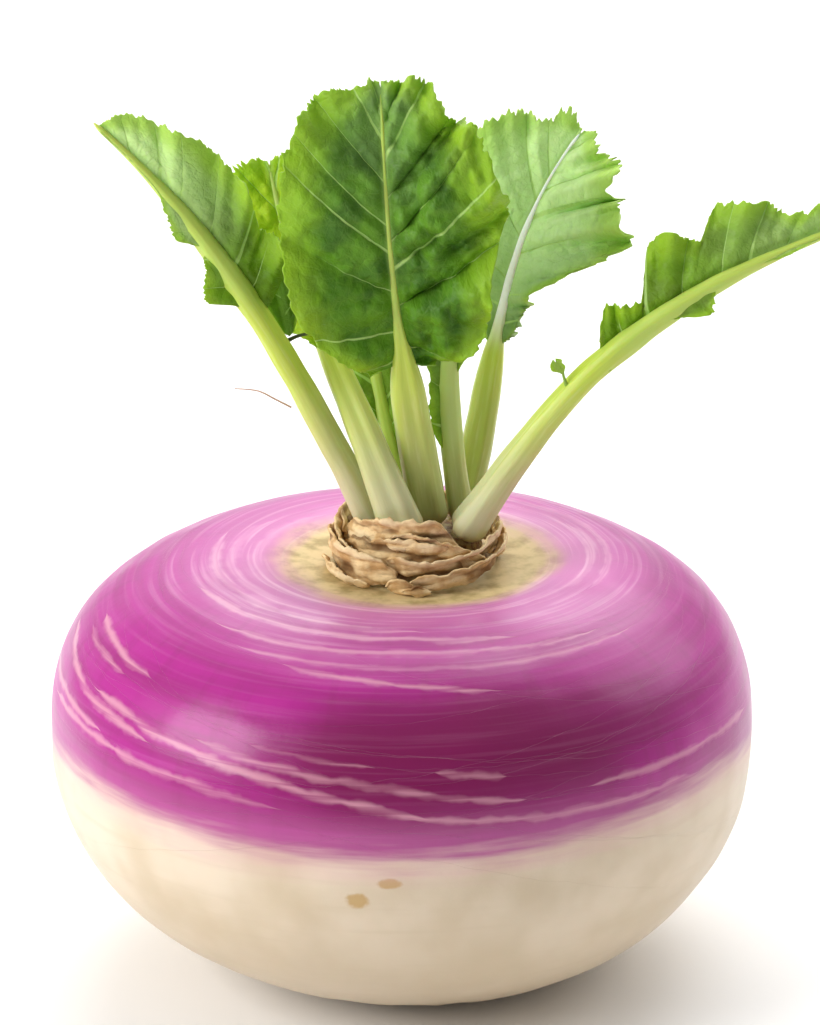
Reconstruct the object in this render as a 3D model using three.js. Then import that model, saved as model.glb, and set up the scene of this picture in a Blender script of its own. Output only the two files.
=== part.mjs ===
// A purple-top turnip with its leaves on: the swollen root, the dry husks round its crown, the leaf
// stalks that rise from the crown, the leaf blades that lie on them and two small leaflets.
// Millimetres, +Z up. The origin is the centre of the flat spot that the root rests on.

import * as THREE from "three";

// Driving dimensions of the root.
const ROOT_RADIUS = 49.6; // at its widest
const WIDEST_HEIGHT = 34; // of the widest ring above the surface it rests on
const TOP_RISE = 29; // of the upper half before its crown sinks
const BOTTOM_DROP = 36.3; // of the lower half before the flat spot cuts it
const TOP_FULLNESS = 2.66; // exponent of the upper half's superellipse: 2 is an ellipse
const BOTTOM_FULLNESS = 2.15;
const CROWN_DIP = 4.2; // how far the crown sinks below the full shape
const CROWN_DIP_RADIUS = 22.5;
const BELLY_SHIFT = 2.3; // the widest ring lies this far to -X of the flat spot
const LOBE_SHARE = 0.005; // the root is out of round by this share of its radius

// Driving dimensions of the crown, where the stalks grow.
const CROWN_X = 0.6;
const NECK_RADIUS = 8.6;
const NECK_TOP = 63.6;
const NECK_FOOT = 58.2; // just under the skin round it
const STALK_FOOT = 64; // the stalks stand just clear of the neck

const HUSK_THICKNESS = 0.9;
const BLADE_THICKNESS = 0.8;
const CLEARANCE = 0.3; // between pieces that lie on each other
const TIP_RADIUS = 0.5; // of every stalk at the leaf's tip
const STALK_FLARE = 0.12; // the stalk's foot is wider by this share
const STALK_FLARE_REACH = 0.07; // share of the stalk's length

// Each leaf's stalk runs to the tip along a cubic Bezier of four points. `radius` is the stalk's at
// its foot and `width` the stalk's breadth over its depth. The blade lies on the stalk from share
// `from` of its length, `half` wide each side, folded up by `cup` degrees, with `face` the way that
// its upper side looks; `half` and `cup` are given for its left and its right side, seen with the
// upper side to the viewer. `lobes` waves of depth `notch` run along its margin.
const LEAVES = {
  left: {
    route: [[-5.5, -1], [-18.5, -3.5, 91.5], [-26.5, -7, 108.5], [-43.5, -4, 123]],
    radius: 2.25, width: 1, from: 0.48, half: [5, 10], cup: [-30, 50],
    face: [0.62, -0.55, 0.9], lobes: 3.5, notch: 0.14,
  },
  back_left: {
    route: [[-1.5, -6], [-11, -4, 90.5], [-17.5, 8, 97], [-20, 9, 116]],
    radius: 2.5, width: 1.15, from: 0.52, half: [11, 10], cup: [10, 10],
    face: [-0.3, -1, 0.3], lobes: 3, notch: 0.1,
  },
  back: {
    route: [[-2.5, 5], [-5, 8, 82.5], [-9, 16.5, 91], [-8, 19, 111]],
    radius: 2, width: 1.1, from: 0.34, half: [9.5, 9.5], cup: [14, 14],
    face: [0, -1, 0.3], lobes: 3, notch: 0.1,
  },
  centre: {
    route: [[2, 0], [-3.5, -2.5, 95.5], [-4, -12.5, 108.5], [-5, -3, 128]],
    radius: 2.2, width: 1.05, from: 0.38, half: [17, 17.5], cup: [10, 5],
    face: [0, -1, 0.2], lobes: 4, notch: 0.08,
  },
  inner: {
    route: [[6.5, 1], [2.5, 2.5, 87.5], [5.5, 4, 91.5], [5, 2, 108.5]],
    radius: 1.6, width: 1, from: 0.5, half: [5.5, 5.5], cup: [16, 16],
    face: [0, -1, 0.3], lobes: 2.5, notch: 0.1,
  },
  back_right: {
    route: [[6, 6], [11.5, 8.5, 80], [9.5, 13.5, 99.5], [22.5, 13, 117]],
    radius: 2, width: 1.1, from: 0.42, half: [14.5, 16], cup: [8, 12],
    face: [0.1, -1, 0.35], lobes: 4, notch: 0.1,
  },
  right: {
    route: [[6, -4], [19, -8, 85.5], [27, -8, 98.5], [59.5, -5, 109.5]],
    radius: 2.5, width: 1.05, from: 0.47, half: [10, 4], cup: [56, -40],
    face: [-0.5, -0.2, 0.85], lobes: 4, notch: 0.2,
  },
};

// Leaflets are the small lobes low on a leaf that stand apart from its blade: a short stem that
// widens into a little blade, beside the stalk that it grew from.
const LEAFLETS = {
  left_leaflet: {
    route: [[-17.5, -1.5, 92], [-18, -0.5, 94.5], [-19, 1, 98], [-20, 2, 102.5]],
    from: 0.1, half: 3.2, cup: 8, face: [0.2, -1, 0.2],
  },
  right_leaflet: {
    route: [[20, -7.5, 88.5], [19.5, -7.5, 89.5], [19, -8, 90], [18.5, -8, 91]],
    from: 0.2, half: 1.2, cup: 8, face: [0.2, -1, 0.2],
  },
};
const LEAFLET_STEM_HALF = 0.6;

// Dry husks, the remains of older leaves, wrap the neck. Angles run round the crown, -90 towards
// the front. Each band goes from one angle to the other, with its lower and upper edge at each end.
const HUSKS = {
  front_husk: { from: -170, to: -62, low: [61.8, 61.2], high: [66.4, 67], foot: 10.8, head: 11 },
  left_husk: { from: -196, to: -110, low: [59.6, 59.3], high: [63.6, 63.2], foot: 12.9, head: 13.1 },
  right_front_husk: { from: -104, to: -14, low: [59.4, 60.4], high: [62.8, 65.2], foot: 12.9, head: 12.5 },
  right_husk: { from: -8, to: 52, low: [59.8, 59.8], high: [64.8, 64.6], foot: 11.8, head: 12 },
  back_husk: { from: 58, to: 118, low: [59.8, 59.8], high: [64.8, 65], foot: 11.4, head: 11.6 },
  back_left_husk: { from: 124, to: 184, low: [59.8, 60], high: [65, 65.6], foot: 11.4, head: 11.4 },
};

const skin = (color, roughness) => new THREE.MeshStandardMaterial({ color, roughness, metalness: 0 });
const rootSkin = skin(0xb0409a, 0.35);
const huskSkin = skin(0xa9875a, 0.9);
const stalkSkin = skin(0xb9cf6a, 0.45);
const bladeSkin = skin(0x4f8a2c, 0.6);

const turnip = new THREE.Group();

function addPiece(name, geometry, material) {
  const mesh = new THREE.Mesh(geometry, material);
  mesh.name = name;
  turnip.add(mesh);
}

// Moves every vertex of a geometry to where place(x, y, z) says. Vertices that share a place keep
// sharing it, so a closed shape stays closed.
function reshape(geometry, place) {
  const position = geometry.getAttribute("position");
  for (let i = 0; i < position.count; i++) {
    const [x, y, z] = place(position.getX(i), position.getY(i), position.getZ(i));
    position.setXYZ(i, x, y, z);
  }
  geometry.deleteAttribute("normal");
  geometry.deleteAttribute("uv");
  return geometry;
}

// Height of the root's upper skin at a radius: the superellipse less the sunken crown.
function upperSkin(radius) {
  const reach = Math.pow(Math.min(radius / ROOT_RADIUS, 1), TOP_FULLNESS);
  const full = TOP_RISE * Math.pow(1 - reach, 1 / TOP_FULLNESS);
  return WIDEST_HEIGHT + full - CROWN_DIP / (1 + Math.pow(radius / CROWN_DIP_RADIUS, 6));
}

// The root: a lathe of its half outline, pushed out of round and leaned by formula.
function makeRoot() {
  const lowerSteps = 9;
  const upperSteps = 11;
  const sides = 48;
  const flatAngle = Math.asin(Math.pow(WIDEST_HEIGHT / BOTTOM_DROP, BOTTOM_FULLNESS / 2));
  const outline = [new THREE.Vector2(0, 0)];
  for (let i = 0; i <= lowerSteps; i++) {
    const angle = flatAngle * (1 - i / lowerSteps);
    const radius = ROOT_RADIUS * Math.pow(Math.cos(angle), 2 / BOTTOM_FULLNESS);
    const height = WIDEST_HEIGHT - BOTTOM_DROP * Math.pow(Math.sin(angle), 2 / BOTTOM_FULLNESS);
    outline.push(new THREE.Vector2(radius, i === 0 ? 0 : height));
  }
  for (let i = 1; i <= upperSteps; i++) {
    const angle = (Math.PI / 2) * (i / (upperSteps + 1));
    const radius = ROOT_RADIUS * Math.pow(Math.cos(angle), 2 / TOP_FULLNESS);
    if (radius > NECK_RADIUS + 1) outline.push(new THREE.Vector2(radius, upperSkin(radius)));
  }
  outline.push(new THREE.Vector2(NECK_RADIUS + 0.4, NECK_FOOT + 0.6));
  outline.push(new THREE.Vector2(NECK_RADIUS - 0.6, NECK_TOP));
  outline.push(new THREE.Vector2(0, NECK_TOP));
  const root = new THREE.LatheGeometry(outline, sides).rotateX(Math.PI / 2);
  return reshape(root, (x, y, z) => {
    const angle = Math.atan2(y, x);
    const radius = Math.hypot(x, y);
    const low = Math.min(Math.max((WIDEST_HEIGHT - z) / WIDEST_HEIGHT, 0), 1);
    const high = Math.min(Math.max((z - WIDEST_HEIGHT) / (NECK_FOOT - WIDEST_HEIGHT), 0), 1);
    const nearCrown = (high * high) / (1 + Math.pow(radius / 26, 4));
    const shift = -BELLY_SHIFT * (1 - low * low) + (BELLY_SHIFT + CROWN_X) * nearCrown;
    const belly = (1 - low * low) * (1 - nearCrown);
    const lobe = 1 + LOBE_SHARE * belly * (Math.sin(2 * angle + 0.6) + Math.sin(3 * angle + 2.1));
    return [x * lobe + shift, y * lobe, z];
  });
}

// A husk: a thin box bent round the crown.
function makeHusk(husk) {
  const band = new THREE.BoxGeometry(1, 1, 1, 12, 1, 2);
  return reshape(band, (x, y, z) => {
    const along = x + 0.5;
    const up = z + 0.5;
    const angle = THREE.MathUtils.degToRad(THREE.MathUtils.lerp(husk.to, husk.from, along));
    const low = THREE.MathUtils.lerp(husk.low[1], husk.low[0], along);
    const high = THREE.MathUtils.lerp(husk.high[1], husk.high[0], along);
    const radius = THREE.MathUtils.lerp(husk.foot, husk.head, up) + y * HUSK_THICKNESS;
    return [
      CROWN_X + radius * Math.cos(angle),
      radius * Math.sin(angle),
      THREE.MathUtils.lerp(low, high, up),
    ];
  });
}

// The place on a rib at share t of it, with the directions along it, across it and out of the
// leaf's upper side.
function ribFrame(curve, face, t) {
  const point = curve.getPoint(t);
  const along = curve.getTangent(t);
  const out = new THREE.Vector3(...face);
  out.addScaledVector(along, -out.dot(along)).normalize();
  const across = new THREE.Vector3().crossVectors(out, along);
  return { point, across, out };
}

function ribCurve(route) {
  const points = route.map(([x, y, z = STALK_FOOT]) => new THREE.Vector3(x, y, z));
  return new THREE.CubicBezierCurve3(...points);
}

// The stalk thins evenly to the leaf's tip, with a flared foot.
function stalkRadius(leaf, t) {
  const flare = 1 + STALK_FLARE * Math.exp(-t / STALK_FLARE_REACH);
  return TIP_RADIUS + (leaf.radius - TIP_RADIUS) * (1 - t) * flare;
}

// A stalk: a cylinder bent along the rib, oval where the leaf's stalk is broad.
function makeStalk(leaf) {
  const curve = ribCurve(leaf.route);
  const rod = new THREE.CylinderGeometry(1, 1, 1, 10, 16);
  return reshape(rod, (x, y, z) => {
    const t = y + 0.5;
    const { point, across, out } = ribFrame(curve, leaf.face, t);
    const radius = stalkRadius(leaf, t);
    point.addScaledVector(across, x * radius * leaf.width).addScaledVector(out, -z * radius);
    if (t === 0) point.z = STALK_FOOT;
    return point.toArray();
  });
}

// Half width of a blade's side at share u of its length: a blunt oval with shallow lobes.
function bladeHalf(leaf, side, u) {
  const oval = Math.pow(Math.sin(Math.PI * (0.06 + 0.88 * u)), 0.7);
  const lobe = 1 - leaf.notch * (1 + Math.cos(2 * Math.PI * leaf.lobes * u));
  return leaf.half[side] * oval * lobe;
}

// A blade: a thin box laid over the rib. A side that folds up does so from the rib, one that folds
// down does so once it is clear of the stalk.
function makeBlade(leaf) {
  const curve = ribCurve(leaf.route);
  const plate = new THREE.BoxGeometry(2, 1, 1, 8, 1, 14);
  return reshape(plate, (x, y, z) => {
    const u = z + 0.5;
    const t = THREE.MathUtils.lerp(leaf.from, 1, u);
    const { point, across, out } = ribFrame(curve, leaf.face, t);
    const side = x > 0 ? 0 : 1;
    const cup = THREE.MathUtils.degToRad(leaf.cup[side]);
    const reach = Math.abs(x) * bladeHalf(leaf, side, u);
    const radius = stalkRadius(leaf, t);
    const level = cup < 0 ? Math.min(reach, radius + 1) : 0;
    const rest = radius + CLEARANCE + BLADE_THICKNESS * (0.5 + y);
    point.addScaledVector(across, Math.sign(x) * (level + (reach - level) * Math.cos(cup)));
    point.addScaledVector(out, (reach - level) * Math.sin(cup) + rest);
    return point.toArray();
  });
}

// A leaflet: one thin box along its own rib, narrow as a stem first and then a small blade.
function makeLeaflet(leaflet) {
  const curve = ribCurve(leaflet.route);
  const cup = THREE.MathUtils.degToRad(leaflet.cup);
  const plate = new THREE.BoxGeometry(2, 1, 1, 4, 1, 12);
  return reshape(plate, (x, y, z) => {
    const t = z + 0.5;
    const { point, across, out } = ribFrame(curve, leaflet.face, t);
    const u = Math.max((t - leaflet.from) / (1 - leaflet.from), 0);
    const half = LEAFLET_STEM_HALF + (leaflet.half - LEAFLET_STEM_HALF) * Math.sin(Math.PI * 0.85 * u);
    const reach = x * half;
    point.addScaledVector(across, reach * Math.cos(cup));
    point.addScaledVector(out, Math.abs(reach) * Math.sin(cup) + y * BLADE_THICKNESS);
    return point.toArray();
  });
}

addPiece("root", makeRoot(), rootSkin);
for (const [name, husk] of Object.entries(HUSKS)) addPiece(name, makeHusk(husk), huskSkin);
for (const [name, leaf] of Object.entries(LEAVES)) {
  addPiece(`${name}_stalk`, makeStalk(leaf), stalkSkin);
  addPiece(`${name}_blade`, makeBlade(leaf), bladeSkin);
}
for (const [name, leaflet] of Object.entries(LEAFLETS)) addPiece(name, makeLeaflet(leaflet), bladeSkin);

export default turnip;
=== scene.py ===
import math

import bpy
import numpy as np
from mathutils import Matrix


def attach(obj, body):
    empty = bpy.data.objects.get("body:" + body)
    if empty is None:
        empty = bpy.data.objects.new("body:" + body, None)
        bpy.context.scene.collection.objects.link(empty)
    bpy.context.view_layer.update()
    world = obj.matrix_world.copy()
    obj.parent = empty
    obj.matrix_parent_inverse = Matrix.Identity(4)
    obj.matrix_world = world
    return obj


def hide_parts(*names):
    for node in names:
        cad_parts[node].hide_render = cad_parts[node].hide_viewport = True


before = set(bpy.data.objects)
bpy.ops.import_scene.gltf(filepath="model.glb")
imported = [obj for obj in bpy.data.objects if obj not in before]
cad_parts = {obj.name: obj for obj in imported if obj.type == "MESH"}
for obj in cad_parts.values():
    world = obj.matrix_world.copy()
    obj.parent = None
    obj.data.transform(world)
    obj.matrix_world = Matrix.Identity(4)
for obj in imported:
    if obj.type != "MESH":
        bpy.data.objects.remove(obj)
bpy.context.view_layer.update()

mm = 0.001  # shapes are worked out in millimetres and stored in metres


# Smooth random numbers from -1 to 1: each whole-number corner of space has a fixed value,
# and a point takes the eased mix of the eight corners round it.
def softNoise(points, seed=0):
    points = np.asarray(points, dtype=float)
    cell = np.floor(points).astype(np.int64)
    part = points - cell
    ease = part * part * (3 - 2 * part)
    total = np.zeros(points.shape[:-1])
    for corner in np.ndindex(2, 2, 2):
        place = cell + np.array(corner)
        mixed = place[..., 0] * 73856093 ^ place[..., 1] * 19349663 ^ place[..., 2] * 83492791
        mixed = (mixed + seed * 7919) & 0xFFFFFFFF
        mixed = ((mixed ^ (mixed >> 15)) * 739982445) & 0xFFFFFFFF
        mixed = ((mixed ^ (mixed >> 12)) * 695872825) & 0xFFFFFFFF
        value = ((mixed ^ (mixed >> 15)) & 0xFFFF) / 32767.5 - 1
        share = np.where(np.array(corner) == 1, ease, 1 - ease).prod(axis=-1)
        total = total + value * share
    return total


# Several sizes of soft noise on top of each other, each half as large and half as strong.
def roughNoise(points, seed=0, layers=3):
    points = np.asarray(points, dtype=float)
    return sum(softNoise(points * 2**i, seed + 17 * i) * 0.5**i for i in range(layers))


# One number per place along a line, from a short list at even steps (a Catmull-Rom curve).
def smoothList(values, share):
    values = np.asarray(values, dtype=float)
    share = np.clip(share, 0, 1) * (len(values) - 1)
    i = np.minimum(share.astype(int), len(values) - 2)
    t = share - i
    if values.ndim > 1:
        t = t[..., None]
    before = values[np.maximum(i - 1, 0)]
    here = values[i]
    after = values[i + 1]
    later = values[np.minimum(i + 2, len(values) - 1)]
    bend = 2 * before - 5 * here + 4 * after - later
    return here + 0.5 * t * (after - before + t * (bend + t * (3 * (here - after) + later - before)))


def spots(x, y, z=0.0):  # points from three sets of numbers that fit together
    return np.stack(np.broadcast_arrays(x, y, z), axis=-1)


def eased(value, low, high):
    t = np.clip((value - low) / (high - low), 0, 1)
    return t * t * (3 - 2 * t)


def unit(vectors):
    return vectors / np.maximum(np.linalg.norm(vectors, axis=-1, keepdims=True), 1e-9)


# Four-cornered faces of a grid of points, rows by columns. A closed grid joins its last column
# to its first. Faces look along (columns) x (rows).
def gridFaces(rows, columns, closed=False, start=0):
    row = np.arange(rows - 1)[:, None] * columns
    column = np.arange(columns if closed else columns - 1)[None, :]
    after = (column + 1) % columns
    corners = [row + column, row + after, row + columns + after, row + columns + column]
    return np.stack(corners, axis=-1).reshape(-1, 4) + start


# A tube of rings with a point at each end, as faces that look outwards.
def tubeFaces(rings, columns, start=0):
    around = np.arange(columns)
    after = (around + 1) % columns
    firstPole = start + rings * columns
    lastPole = firstPole + 1
    last = start + (rings - 1) * columns
    first = np.stack([np.full(columns, firstPole), start + after, start + around], axis=-1)
    final = np.stack([np.full(columns, lastPole), last + around, last + after], axis=-1)
    return [gridFaces(rings, columns, True, start), first, final]


# A sheet with two sides: the grid pushed out and in by half its thickness, with walls round it.
def sheetShell(grid, thickness, values):
    rows, columns = grid.shape[:2]
    normal = unit(np.cross(np.gradient(grid, axis=1), np.gradient(grid, axis=0)))
    half = np.asarray(thickness)[..., None] / 2
    count = rows * columns
    points = np.concatenate([(grid + normal * half).reshape(-1, 3), (grid - normal * half).reshape(-1, 3)])
    upper = gridFaces(rows, columns)
    lower = gridFaces(rows, columns, start=count)[:, ::-1]
    index = np.arange(count).reshape(rows, columns)
    rim = np.concatenate([index[0, :-1], index[:-1, -1], index[-1, :0:-1], index[:0:-1, 0]])
    ahead = np.roll(rim, -1)
    wall = np.stack([ahead, rim, rim + count, ahead + count], axis=-1)
    flat = {name: v.reshape(count, -1).squeeze() for name, v in values.items()}
    both = {name: np.concatenate([v, v]) for name, v in flat.items()}
    both["upper"] = np.repeat([1.0, 0.0], count)
    return points, [upper, lower, wall], both


# Several shells as one: points one after another, faces counted on from the points before.
def joinShells(shells):
    points, faces, values, start = [], [], {}, 0
    names = set.intersection(*(set(shell[2]) for shell in shells))
    for shellPoints, shellFaces, shellValues in shells:
        points.append(shellPoints)
        faces += [f + start for f in shellFaces]
        start += len(shellPoints)
        for name in sorted(names):
            values.setdefault(name, []).append(shellValues[name])
    return np.concatenate(points), faces, {name: np.concatenate(v) for name, v in values.items()}


def makePiece(name, shell, material, slotName, *nodes):
    points, faces, values = shell
    mesh = bpy.data.meshes.new(name)
    corners = np.concatenate([f.ravel() for f in faces]).astype(np.int32)
    sizes = np.concatenate([np.full(len(f), f.shape[1]) for f in faces])
    starts = np.concatenate([[0], np.cumsum(sizes)[:-1]]).astype(np.int32)
    mesh.vertices.add(len(points))
    mesh.vertices.foreach_set("co", (points * mm).ravel())
    mesh.loops.add(len(corners))
    mesh.loops.foreach_set("vertex_index", corners)
    mesh.polygons.add(len(sizes))
    mesh.polygons.foreach_set("loop_start", starts)
    mesh.polygons.foreach_set("use_smooth", np.ones(len(sizes), dtype=bool))
    for valueName, value in values.items():
        kind = "FLOAT_VECTOR" if value.ndim > 1 else "FLOAT"
        field = "vector" if value.ndim > 1 else "value"
        layer = mesh.attributes.new(valueName, kind, "POINT")
        layer.data.foreach_set(field, value.astype(np.float32).ravel())
    mesh.update(calc_edges=True)
    mesh.validate()
    piece = bpy.data.objects.new(name, mesh)
    bpy.context.scene.collection.objects.link(piece)
    mesh.materials.append(material)
    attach(piece, "root")
    if nodes:
        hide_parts(*nodes)
    return piece


def tint(red, green, blue):  # from the usual 0 to 255 to the renderer's linear light
    parts = [c / 255 for c in (red, green, blue)]
    return [c / 12.92 if c <= 0.04045 else ((c + 0.055) / 1.055) ** 2.4 for c in parts] + [1]


class Nodes:  # a short way to write nodes
    def __init__(self, owner):
        owner.use_nodes = True
        self.tree = owner.node_tree

    def put(self, value, socket):
        if isinstance(value, bpy.types.NodeSocket):
            self.tree.links.new(value, socket)
        else:
            socket.default_value = value

    def node(self, kind, inputs=(), **settings):
        made = self.tree.nodes.new(kind)
        for setting, value in settings.items():
            setattr(made, setting, value)
        for socket, value in dict(inputs).items():
            self.put(value, made.inputs[socket])
        return made

    def math(self, operation, *values):
        made = self.node("ShaderNodeMath", dict(enumerate(values)), operation=operation)
        return made.outputs[0]

    def times(self, first, second):
        return self.math("MULTIPLY", first, second)

    def rest(self, share):  # what is left of one
        return self.math("SUBTRACT", 1.0, share)

    def scaled(self, value, factor, added):
        return self.math("MULTIPLY_ADD", value, factor, added)

    def mix(self, share, first, second):
        made = self.node("ShaderNodeMix", {0: share, 6: first, 7: second}, data_type="RGBA")
        return made.outputs[2]

    def painted(self, base, *coats):  # each coat is where it lies, how strong it is and its colour
        for where, strength, colour in coats:
            base = self.mix(self.times(where, strength), base, colour)
        return base

    def vector(self, x, y, z=0.0):
        return self.node("ShaderNodeCombineXYZ", {0: x, 1: y, 2: z}).outputs[0]

    # start below low and end above high, eased between them or in a straight line
    def band(self, value, low, high, start=0.0, end=1.0, kind="SMOOTHSTEP"):
        inputs = {"Value": value, "From Min": low, "From Max": high, "To Min": start, "To Max": end}
        return self.node("ShaderNodeMapRange", inputs, interpolation_type=kind).outputs[0]

    def noise(self, vector, scale, detail=3.0, roughness=0.5):
        inputs = {"Vector": vector, "Scale": scale, "Detail": detail, "Roughness": roughness}
        return self.node("ShaderNodeTexNoise", inputs).outputs[0]

    def attribute(self, name, output="Fac"):
        return self.node("ShaderNodeAttribute", attribute_name=name).outputs[output]

    def place(self, scale=(1000, 1000, 1000)):  # position on the piece, in millimetres
        where = self.node("ShaderNodeTexCoord").outputs["Object"]
        return self.node("ShaderNodeMapping", {"Vector": where, "Scale": scale}).outputs[0]

    def bump(self, height, depth, strength=1.0, over=None):
        inputs = {"Height": height, "Distance": depth * mm, "Strength": strength}
        if over is not None:
            inputs["Normal"] = over
        return self.node("ShaderNodeBump", inputs).outputs[0]


class Finish(Nodes):  # a material, whose shader's sockets are given with _ for a space
    def __init__(self, name, **sockets):
        self.material = bpy.data.materials.new(name)
        super().__init__(self.material)
        self.finish(**sockets)

    def finish(self, **sockets):
        shader = self.tree.nodes["Principled BSDF"]
        for socket, value in sockets.items():
            self.put(value, shader.inputs[socket.replace("_", " ")])
        return self.material


root = {
    "radius": 49.6,  # at the widest ring
    "widest": 34.0,  # height of that ring
    "topRise": 29.0,
    "bottomDrop": 36.3,
    "topFullness": 2.66,
    "bottomFullness": 2.15,
    "crownDip": 4.2,
    "crownDipRadius": 22.5,
    "bellyShift": 2.3,
    "crownX": 0.6,
    "crownRise": 24.2,  # from the widest ring to the crown
    "crownReach": 26.0,  # how far out the crown's shift is felt
    "neckRadius": 8.5,
    "neckFrom": 50.0,  # the skin higher than this and near the axis is the neck's
    "neckTop": 63.5,
    "outOfRound": 0.005,
    "rows": 250,
    "columns": 380,
}


# Half outline of the root from the middle of its foot to the middle of its neck, as radius and
# height: a superellipse below the widest ring, a fuller one above it less the sunken crown,
# then the short neck.
def rootOutline():
    r = root
    flat = math.asin((r["widest"] / r["bottomDrop"]) ** (r["bottomFullness"] / 2))
    low = np.linspace(flat, 0, 900)
    lowRadius = r["radius"] * np.cos(low) ** (2 / r["bottomFullness"])
    lowHeight = r["widest"] - r["bottomDrop"] * np.sin(low) ** (2 / r["bottomFullness"])
    high = np.linspace(0, math.pi / 2, 1800)[1:]
    highRadius = r["radius"] * np.abs(np.cos(high)) ** (2 / r["topFullness"])
    sunk = r["crownDip"] / (1 + (highRadius / r["crownDipRadius"]) ** 6)
    highHeight = r["widest"] + r["topRise"] * np.sin(high) ** (2 / r["topFullness"]) - sunk
    kept = highRadius > r["neckRadius"] + 3.2
    neck = [(r["neckRadius"] + 1.6, highHeight[kept][-1] + 0.15), (r["neckRadius"] + 0.5, 59.4),
            (r["neckRadius"], 61.0), (r["neckRadius"] - 0.5, 62.8), (r["neckRadius"] - 1.6, r["neckTop"])]
    radius = np.concatenate([[0], lowRadius, highRadius[kept], [p[0] for p in neck], [0]])
    height = np.concatenate([[0], lowHeight, highHeight[kept], [p[1] for p in neck], [r["neckTop"]]])
    height[1] = 0
    length = np.concatenate([[0], np.cumsum(np.hypot(np.diff(radius), np.diff(height)))])
    return radius, height, length


# The outline turned round the axis. Low on the root the axis leans towards the flat spot, high on
# it towards the crown. Soft noise then moves the skin in and out: broad dents, fine rings round
# the crown, wrinkles that run to the scar of the cut tap root, and the torn surface of the neck.
def rootSurface():
    r = root
    radius, height, length = rootOutline()
    step = np.linspace(0, length[-1], r["rows"] + 2)[1:-1]
    ringRadius = np.interp(step, length, radius)[:, None]
    ringHeight = np.interp(step, length, height)[:, None]
    fromCrown = length[-1] - step[:, None]
    turn = np.linspace(0, 2 * math.pi, r["columns"], endpoint=False)[None, :]
    low = np.clip((r["widest"] - ringHeight) / r["widest"], 0, 1)
    high = np.clip((ringHeight - r["widest"]) / r["crownRise"], 0, 1)
    nearCrown = high**2 / (1 + (ringRadius / r["crownReach"]) ** 4)
    shift = -r["bellyShift"] * (1 - low**2) + (r["bellyShift"] + r["crownX"]) * nearCrown
    belly = (1 - low**2) * (1 - nearCrown)
    lobes = r["outOfRound"] * belly * (np.sin(2 * turn + 0.6) + np.sin(3 * turn + 2.1))
    out = ringRadius * (1 + lobes)
    points = spots(out * np.cos(turn), out * np.sin(turn), ringHeight)

    dents = 0.28 * softNoise(points / 16, 3) + 0.1 * softNoise(points / 5, 5)
    dents = dents * eased(ringRadius, 12, 30)
    ringLine = spots(points[..., 0] / 60, points[..., 1] / 60, fromCrown / 1.5)
    rings = 0.07 * roughNoise(ringLine, 11, 2)
    rings = rings * eased(fromCrown, 16, 24) * (1 - eased(fromCrown, 40, 60))
    foot = ringRadius * eased(ringHeight, 6, 0)
    wrinkleLine = spots(9 * np.cos(turn), 9 * np.sin(turn), ringRadius / 9)
    wrinkles = 0.12 * roughNoise(wrinkleLine, 23, 2) * eased(foot, 1, 6) * (1 - eased(foot, 12, 24))
    neckLine = points / np.array([2.2, 2.2, 0.7])
    highUp = ringHeight > r["neckFrom"]
    torn = 0.35 * roughNoise(neckLine, 31) * (1 - eased(ringRadius, 8.8, 11)) * highUp
    around = np.gradient(points, axis=1)
    around[:, 0] = points[:, 1] - points[:, -1]
    around[:, -1] = points[:, 0] - points[:, -2]
    normal = unit(np.cross(around, np.gradient(points, axis=0)))
    points = points + normal * (dents + rings + wrinkles + torn)[..., None]
    scar = (1 - eased(ringRadius, 2.5, 5)) * (ringHeight < 5)
    scarLift = scar * (0.5 + 0.35 * roughNoise(points / 1.3, 41, 2))
    points[..., 2] = np.maximum(points[..., 2], 0) + scarLift
    points[..., 0] = points[..., 0] + shift
    poles = np.array([[0, 0, 0.5], [r["crownX"], 0, r["neckTop"]]])
    allPoints = np.concatenate([points.reshape(-1, 3), poles])
    neck = highUp * (1 - eased(ringRadius, 9, 10.5))

    def everywhere(ringValue, atFoot, atNeck):  # a value for each ring, then for the two end points
        return np.concatenate([(ringValue + 0 * turn).ravel(), [atFoot, atNeck]])

    values = {
        "fromCrown": everywhere(fromCrown, length[-1], 0),
        "neck": everywhere(neck, 0, 1),
        "scar": everywhere(scar, 1, 0),
    }
    return allPoints, tubeFaces(r["rows"], r["columns"]), values


rootColours = {
    "purple": tint(176, 24, 138),
    "deepPurple": tint(122, 22, 78),
    # paler towards the crown: partly the skin's own colour, partly a painted sheen
    "lilacAndSheen": tint(218, 138, 194),
    "cream": tint(228, 210, 186),
    # darker cream, used for random tone and for painted shade low on the root
    "creamShade": tint(208, 188, 158),
    "mauve": tint(176, 92, 142),
    "crownTan": tint(216, 192, 140),
    "crownOlive": tint(166, 144, 92),
    # pale thin lines near the crown: partly real lines, partly a painted highlight
    "paleLineAndSheen": tint(240, 190, 218),
    "crack": tint(224, 164, 178),
    "ochre": tint(190, 148, 76),
    "neck": tint(122, 84, 46),
    "scar": tint(150, 118, 78),
    "boundary": 65.3,  # skin distance from the crown where purple meets cream, in mm
    "disc": 22.4,  # skin distance from the crown where the tan disc ends, in mm
}

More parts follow.
